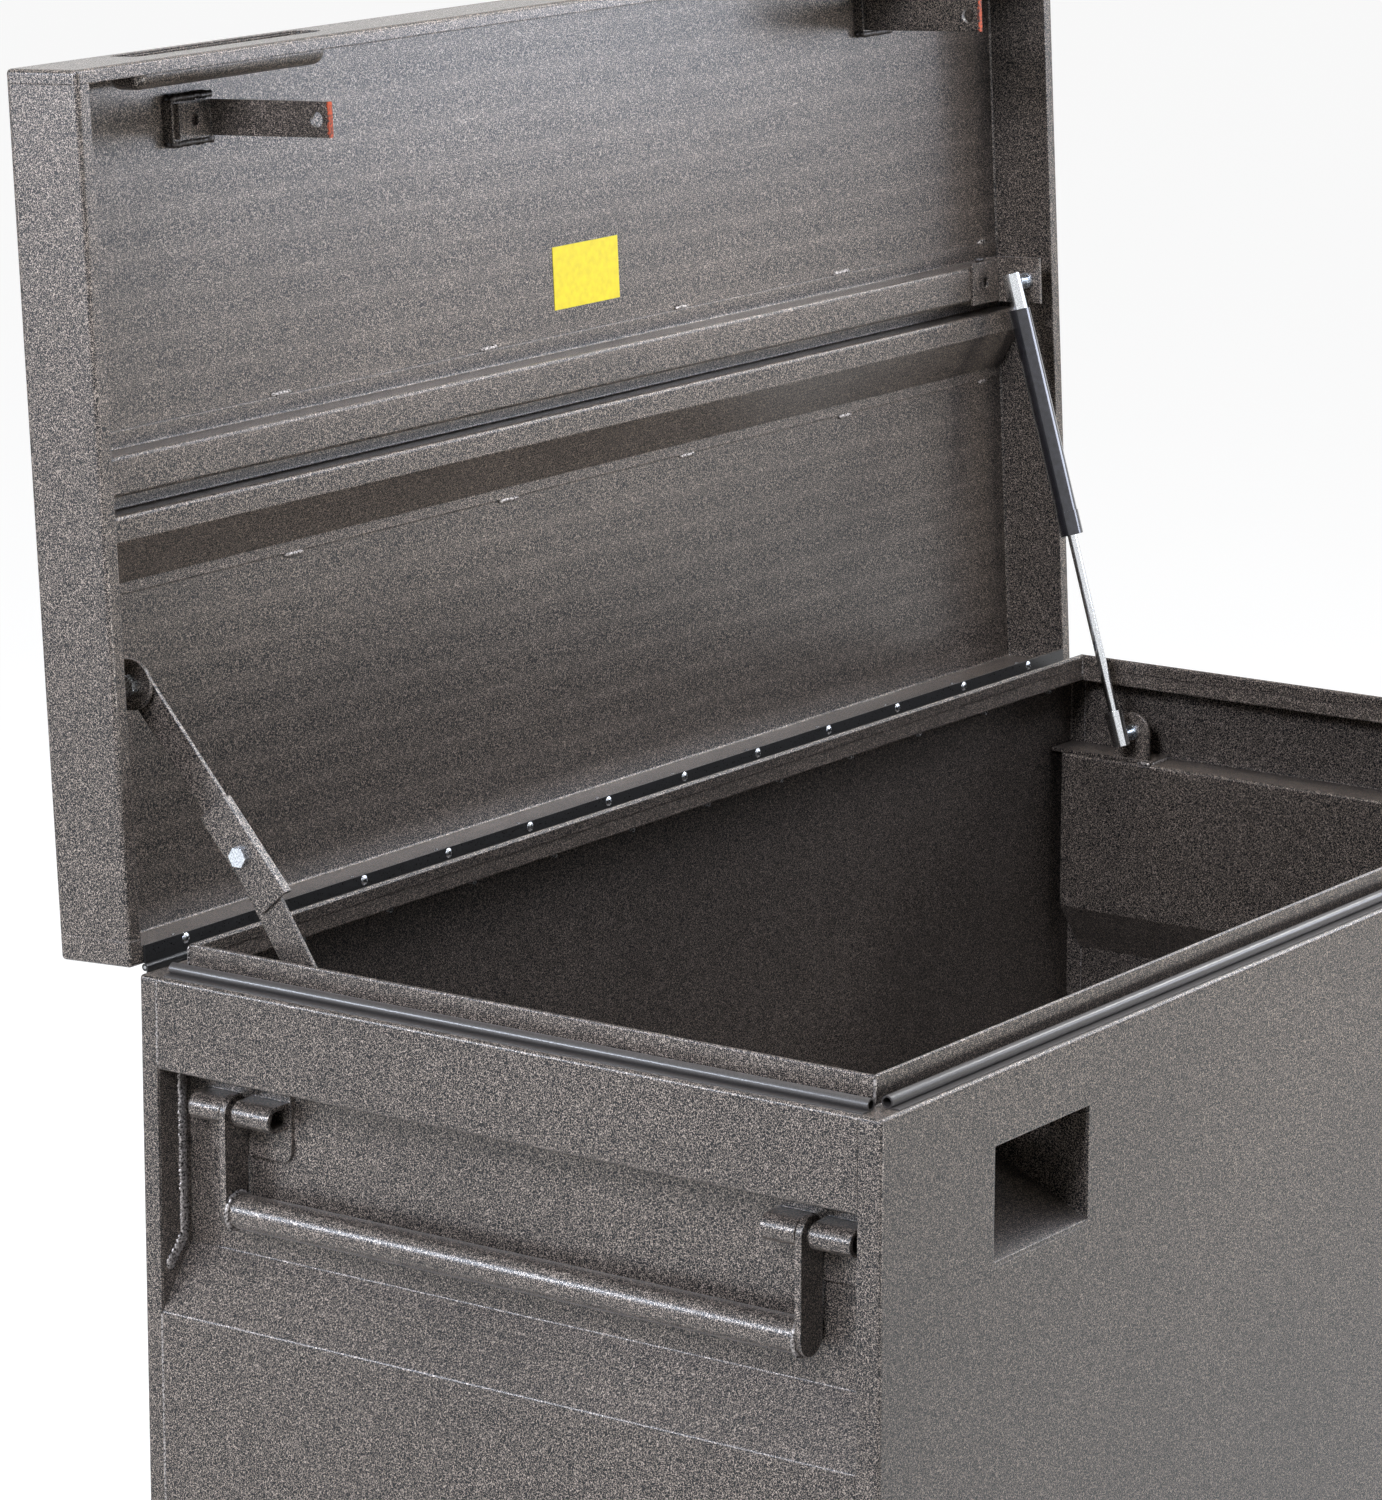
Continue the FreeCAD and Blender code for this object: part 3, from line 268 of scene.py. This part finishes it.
def beadMesh(path, radius, squash):
    points = [Vector(p) for p in path]
    line = []
    for a, b in zip(points, points[1:]):
        count = max(2, int((b - a).length / bead["step"]))
        line += [a.lerp(b, i / count) for i in range(count)]
    line.append(points[-1])
    verts, faces = [], []
    travelled = 0.0
    for i, here in enumerate(line):
        ahead = (line[min(i + 1, len(line) - 1)] - line[max(i - 1, 0)]).normalized()
        side = ahead.cross(Vector(bead["slant"])).normalized()
        up = ahead.cross(side)
        travelled += (here - line[max(i - 1, 0)]).length
        wave = 1 + bead["swell"] * abs(math.sin(math.pi * travelled / bead["scallop"])) - bead["swell"] / 2
        end = min(1, bead["tipShare"] + min(i, len(line) - 1 - i) * bead["tipGrowth"])
        for k in range(bead["sides"]):
            angle = 2 * math.pi * k / bead["sides"]
            reach = radius * wave * end * (1 + bead["wander"] * dice.uniform(-1, 1))
            out = (side * math.cos(angle) + up * math.sin(angle)) * reach
            verts.append((here + Vector([o * s for o, s in zip(out, squash)])) / 1000)
    n = bead["sides"]
    for i in range(len(line) - 1):
        for k in range(n):
            a, b = i * n + k, i * n + (k + 1) % n
            faces.append((a, b, b + n, a + n))
    faces.append(tuple(range(n))[::-1])
    faces.append(tuple(range(len(verts) - n, len(verts))))
    return verts, faces


# By default beads take the weld finish, whose light tone is a painted highlight
def addBeads(name, body, beads, finish="weldWithPaintedHighlight"):
    verts, faces = [], []
    for path, radius, squash in beads:
        v, f = beadMesh(path, radius, squash)
        faces += [tuple(index + len(verts) for index in face) for face in f]
        verts += v
    return addMesh(name, verts, faces, finish, body)


def bothEnds(beads):  # the same beads at the left end and, mirrored, at the right
    flipped = [([(-x, y, z) for x, y, z in path], radius, squash) for path, radius, squash in beads]
    return beads + flipped


# seam between the rear panel's wrapped edge and the end panel: ground, so it stands only just proud
endSeam = dict(y=289.85, spans=((642, 582), (404, 97)), radius=1.0, sink=0.55)
x = -chest["end"] + endSeam["sink"]
addBeads("end_seam_welds", "chest", bothEnds([
    ([(x, endSeam["y"], high), (x, endSeam["y"], low)], endSeam["radius"], fullRound)
    for high, low in endSeam["spans"]]))

# wide rough runs on the recess's side walls, following its back and slope
recess = dict(walls=(289.7, -286.7), depth=25.5, top=577, turn=455, foot=435, footDepth=7, radius=4.6, flat=0.36)
back, footing = (-chest["end"] + recess[name] for name in ("depth", "footDepth"))
addBeads("recess_side_welds", "chest", bothEnds([
    ([(back, wall, recess["top"]), (back, wall, recess["turn"]), (footing, wall, recess["foot"])],
     recess["radius"], (1, recess["flat"], 1)) for wall in recess["walls"]]))

# top of each handle bracket against the recess, in two runs, and round the ends of each tube
bracket = dict(spans=((-275, -243), (-238, -207), (201, 230), (236, 269)), depth=31.5, z=576.3, radius=3.0, flat=0.8)
x = -chest["end"] + bracket["depth"]
addBeads("handle_bracket_welds", "chest", bothEnds([
    ([(x, a, bracket["z"]), (x, b, bracket["z"])], bracket["radius"], (1, 1, bracket["flat"]))
    for a, b in bracket["spans"]]))
tube = dict(x=592.0, z=484.0, ring=13.0, radius=1.9, ends=(-235.2, 234.2), points=20)
turns = [2 * math.pi * i / tube["points"] for i in range(tube["points"] + 1)]
for end, side in (("left", -1), ("right", 1)):
    rings = [([(side * tube["x"] + tube["ring"] * math.cos(a), y, tube["z"] + tube["ring"] * math.sin(a))
               for a in turns], tube["radius"], fullRound) for y in tube["ends"]]
    addBeads(end + "_tube_welds", end + "_handle", rings)

# corners of the lip: a short run outside and inside each corner
lipCorner = dict(low=646.5, high=663.5, radius=1.1)
corners = []
for side in (-1, 1):
    for y, inward in ((chest["rear"] - chest["lipIn"], -1), (chest["front"] + chest["frontLipIn"], 1)):
        for deep in (0, chest["lipWall"]):
            x = side * (chest["end"] - chest["lipIn"] - deep)
            corners.append(([(x, y + inward * deep, lipCorner[level]) for level in ("low", "high")],
                            lipCorner["radius"], fullRound))
addBeads("lip_corner_welds", "chest", corners)

# feet of the strut's bracket, along two sides, and of the stay's bracket on the shelf
footWeld = dict(z=581.0, radius=1.7, runs=(((577, 204.6), (604, 204.6)), ((575.3, 206), (575.3, 218)),
                                           ((-604, 140.6), (-568, 140.6))))
addBeads("bracket_foot_welds", "chest", [
    ([(*a, footWeld["z"]), (*b, footWeld["z"])], footWeld["radius"], fullRound) for a, b in footWeld["runs"]])

# stitch welds along both edges of the lid's stiffener: distance from the left end face, length
stitch = dict(radius=2.0, flat=0.7, sink=0.6, rows=(
    (360.2, ((265.5, 22), (513, 20), (762.5, 18), (987.5, 24), (1199, 12))),
    (243.6, ((270, 22), (528, 24), (761.5, 20), (985, 18), (1193, 14)))))
stitches = []
for fromAxis, runs in stitch["rows"]:
    for middle, length in runs:
        ends = [onLid(-chest["end"] + middle + s * length / 2, fromAxis, lidPanel - stitch["sink"]) for s in (-1, 1)]
        stitches.append((ends, stitch["radius"], (1, stitch["flat"], 1)))
addBeads("stiffener_stitch_welds", "lid", stitches)

# lumps round the block under each lock arm, and above the heads of the strut and the stay
arm = dict(x=414.5, pad=(5, -41), edges=(549.8, 581.2), heights=(55.5, 60), radius=2.6)
headWelds = (((548, 350.5, 41), (560, 350.5, 41), 2.2), ((-580, 214, 61.5), (-571, 214, 61.5), 1.8))
lumps = [([onLid(side * (arm["x"] - reach), fromAxis, height) for reach in arm["pad"]], arm["radius"], fullRound)
         for side in (-1, 1) for fromAxis in arm["edges"] for height in arm["heights"]]
lumps += [([onLid(*a), onLid(*b)], radius, fullRound) for a, b, radius in headWelds]
addBeads("lid_bracket_welds", "lid", lumps, "darkWeld")
print("weld beads laid")

# The lip's sheet is doubled back inside, so its free edge shows as a step half way down
hem = dict(top=663.6, foot=654.6, proud=0.45)


def addHem(look):
    verts, faces = [], []
    out = chest["lipIn"] + chest["lipWall"]
    x, back = chest["end"] - out, chest["rear"] - out
    near = chest["front"] + chest["frontLipIn"] + chest["lipWall"]
    levels = ((0.0, look["top"]), (look["proud"], look["top"] - look["proud"]),
              (look["proud"], look["foot"] + look["proud"]), (0.0, look["foot"]))
    for inward, z in levels:
        for cx, cy in ((-x + inward, near + inward), (x - inward, near + inward),
                       (x - inward, back - inward), (-x + inward, back - inward)):
            verts.append((mm(cx), mm(cy), mm(z)))
    for level in range(len(levels) - 1):
        for k in range(4):
            a, b = level * 4 + k, level * 4 + (k + 1) % 4
            faces.append((a, a + 4, b + 4, b))
    addMesh("lip_hem", verts, faces, "hammertone", "chest", smooth=False)


addHem(hem)

# Cross recesses in the hinge's screw heads: a cross's arms, how deep and proud it stands, and the heads' crests
screw = dict(
    count=12, pitch=100, reach=1.9, width=0.75, depth=0.7, proud=0.12,
    fromAxis=11.4, upperCrest=-1.9, lowerCrest=307.5,
)


def crossMesh(middle, out, look, turn):
    out = Vector(out).normalized()
    first = out.orthogonal().normalized()
    first.rotate(Matrix.Rotation(turn, 3, out))
    second = out.cross(first)
    r, w = look["reach"], look["width"] / 2
    outline = [(r, -w), (r, w), (w, w), (w, r), (-w, r), (-w, w),
               (-r, w), (-r, -w), (-w, -w), (-w, -r), (w, -r), (w, -w)]
    verts = []
    for level in (-look["depth"], look["proud"]):
        verts += [(Vector(middle) + first * a + second * b + out * level) / 1000 for a, b in outline]
    n = len(outline)
    faces = [tuple(range(n))[::-1], tuple(range(n, 2 * n))]
    faces += [(k, (k + 1) % n, (k + 1) % n + n, k + n) for k in range(n)]
    return verts, faces


def addCrosses(name, node, body, place, out):
    low, high = (corner.x * 1000 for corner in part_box(node))
    head = high - low - (screw["count"] - 1) * screw["pitch"]  # across one head
    verts, faces = [], []
    for i in range(screw["count"]):
        x = low + head / 2 + i * screw["pitch"]
        v, f = crossMesh(place(x), out, screw, dice.uniform(0, math.pi / 2))
        faces += [tuple(index + len(verts) for index in face) for face in f]
        verts += v
    addMesh(name, verts, faces, "screwRecess", body, smooth=False)


upperOut = onLid(0, screw["fromAxis"], -1) - onLid(0, screw["fromAxis"], 0)
addCrosses("upper_screw_recesses", "hinge_upper_screws", "lid",
           lambda x: onLid(x, screw["fromAxis"], screw["upperCrest"]), upperOut)
addCrosses("lower_screw_recesses", "hinge_lower_screws", "chest",
           lambda x: (x, screw["lowerCrest"], hingePlace.z - screw["fromAxis"]), (0, 1, 0))

# Bare, rusty tips of the lock arms: a thin skin over the cut end, with a ragged lap on both faces
tip = dict(x=416.5, wall=4.0, near=578.0, far=553.0, end=-55.4, proud=0.12, lap=(0.3, 1.9), steps=18)


def addTips(look):
    verts, faces = [], []
    for side in (-1, 1):
        half = look["wall"] / 2 + look["proud"]
        start = len(verts)
        for i in range(look["steps"] + 1):
            fromAxis = look["far"] + (look["near"] - look["far"]) * i / look["steps"]
            for across, lap in ((-half, dice.uniform(*look["lap"])), (-half, -look["proud"]),
                                (half, -look["proud"]), (half, dice.uniform(*look["lap"]))):
                verts.append(onLid(side * look["x"] + across, fromAxis, look["end"] + lap) / 1000)
        for i in range(look["steps"]):
            for k in range(3):
                a = start + i * 4 + k
                faces.append((a, a + 1, a + 5, a + 4))
    addMesh("lock_arm_bare_tips", verts, faces, "rustyPrimer", "lid", smooth=False)


addTips(tip)
print("hem, screw recesses and bare tips added")


# camera, as the photograph was taken: angles in degrees, lens in mm
view = dict(
    place=(-3.6691, -2.3063, 1.7265), azimuth=54.92, down=12.98, roll=0.10,
    lens=145.0, sensor=36.0, farthest=50,
)


def addCamera(look):
    az, down, roll = (math.radians(look[k]) for k in ("azimuth", "down", "roll"))
    ahead = Vector((math.sin(az) * math.cos(down), math.cos(az) * math.cos(down), -math.sin(down)))
    across = ahead.cross(Vector((0, 0, 1))).normalized()
    upward = across.cross(ahead)
    side = across * math.cos(roll) + upward * math.sin(roll)
    top = upward * math.cos(roll) - across * math.sin(roll)
    data = bpy.data.cameras.new("camera")
    data.lens = look["lens"]
    data.sensor_width = look["sensor"]
    data.clip_end = look["farthest"]
    camera = bpy.data.objects.new("camera", data)
    turned = Matrix((side, top, -ahead)).transposed().to_4x4()
    camera.matrix_world = Matrix.Translation(Vector(look["place"])) @ turned
    bpy.context.scene.collection.objects.link(camera)
    bpy.context.scene.camera = camera


addCamera(view)

# Soft boxes, in metres and watts. The ones at the left light the end and run along the tube and the bends,
# overhead the faces that look up, lidTop and nearRight the lid's inside, and lowFront the stiffener's slope.
lamps = [
    dict(name="overhead", place=(0.0, -0.1, 3.4), aim=(0.0, -0.05, 0.0), size=(1.0, 0.6), power=60),
    dict(name="highRight", place=(3.2, -0.7, 2.9), aim=(0.0, 0.0, 0.6), size=(0.6, 0.6), power=30),
    dict(name="nearRight", place=(1.5, -0.9, 1.3), aim=(-0.2, 0.35, 1.2), size=(0.8, 0.5), power=11,
         colour="#e6eeff"),
    dict(name="lidTop", place=(0.6, -0.9, 2.3), aim=(0.0, 0.35, 1.15), size=(1.4, 0.6), power=23, colour="#e2eaff"),
    dict(name="rearLeft", place=(-3.5, 2.2, 1.6), aim=(-0.6, 0.1, 0.6), size=(0.8, 0.8), power=90, colour="#e6efff"),
    dict(name="left", place=(-2.9, -0.35, 2.5), aim=(-0.6, 0.0, 0.6), size=(0.9, 0.9), power=118, colour="#e4ecff"),
    dict(name="lowFront", place=(0.6, -2.4, 0.12), aim=(0.0, 0.33, 0.97), size=(1.4, 0.3), power=2.5, spread=30),
]


def addLamp(look):
    data = bpy.data.lights.new(look["name"], "AREA")
    data.shape = "RECTANGLE"
    data.size, data.size_y = look["size"]
    data.energy = look["power"]
    data.color = hexColour(look.get("colour", "#ffffff"))[:3]
    data.spread = math.radians(look.get("spread", 180))
    lamp = bpy.data.objects.new(look["name"], data)
    lamp.location = look["place"]
    lamp.rotation_euler = (Vector(look["aim"]) - Vector(look["place"])).to_track_quat("-Z", "Y").to_euler()
    bpy.context.scene.collection.objects.link(lamp)


for look in lamps:
    addLamp(look)

studio = dict(
    light="#8f9194", strength=0.14,             # faint even light from all round
    floor=("#e9e9e8", "#f0f0ef"), dust=400,     # pale floor, mm across its uneven patches
    floorSize=30.0, glow=1.24, glowShare=0.75,  # metres, the floor's own white, and how much of it is seen
)


def seenDirectly(tree):  # 1 where the camera, a mirror or glass sees the surface, otherwise 0
    path = addNode(tree, "LightPath")
    first = addNode(tree, "Math", {"operation": "MAXIMUM"},
                    _0=path.outputs["Is Camera Ray"], _1=path.outputs["Is Glossy Ray"])
    last = addNode(tree, "Math", {"operation": "MAXIMUM"},
                   _0=first.outputs[0], _1=path.outputs["Is Transmission Ray"])
    return last.outputs[0]


def addWorld(look):
    world = bpy.data.worlds.new("studio")
    bpy.context.scene.world = world
    world.use_nodes = True
    tree = world.node_tree
    tree.nodes.clear()
    lit = addNode(tree, "Background", {"Color": hexColour(look["light"]), "Strength": look["strength"]})
    white = addNode(tree, "Background", {"Color": (1, 1, 1, 1), "Strength": 1.0})
    mix = addNode(tree, "MixShader", _0=seenDirectly(tree), _1=lit.outputs[0], _2=white.outputs[0])
    addNode(tree, "OutputWorld", Surface=mix.outputs[0])


# Pale floor that the camera and reflections see nearly white, and that keeps the chest's shadow
def addFloor(look):
    material, tree = newMaterial("studioFloor")
    place = addNode(tree, "TexCoord").outputs["Object"]
    dust = addNode(tree, "TexNoise", {"Scale": perMetre(look["dust"])}, Vector=place)
    tone = addNode(tree, "ValToRGB", Fac=dust.outputs["Fac"])
    setRamp(tone, zip((0.3, 0.7), look["floor"]))
    matt = addNode(tree, "BsdfDiffuse", Color=tone.outputs["Color"])
    glow = addNode(tree, "Emission", {"Color": (1, 1, 1, 1), "Strength": look["glow"]})
    share = addNode(tree, "Math", {"operation": "MULTIPLY", "_1": look["glowShare"]}, _0=seenDirectly(tree))
    mix = addNode(tree, "MixShader", _0=share.outputs[0], _1=matt.outputs[0], _2=glow.outputs[0])
    addNode(tree, "OutputMaterial", Surface=mix.outputs[0])
    half = look["floorSize"] / 2
    mesh = bpy.data.meshes.new("floor")
    mesh.from_pydata([(-half, -half, 0), (half, -half, 0), (half, half, 0), (-half, half, 0)], [], [(0, 1, 2, 3)])
    floor = bpy.data.objects.new("floor", mesh)
    bpy.context.scene.collection.objects.link(floor)
    mesh.materials.append(material)


addWorld(studio)
addFloor(studio)
bpy.context.scene.view_settings.view_transform = "Standard"
print("camera, lamps and studio set")
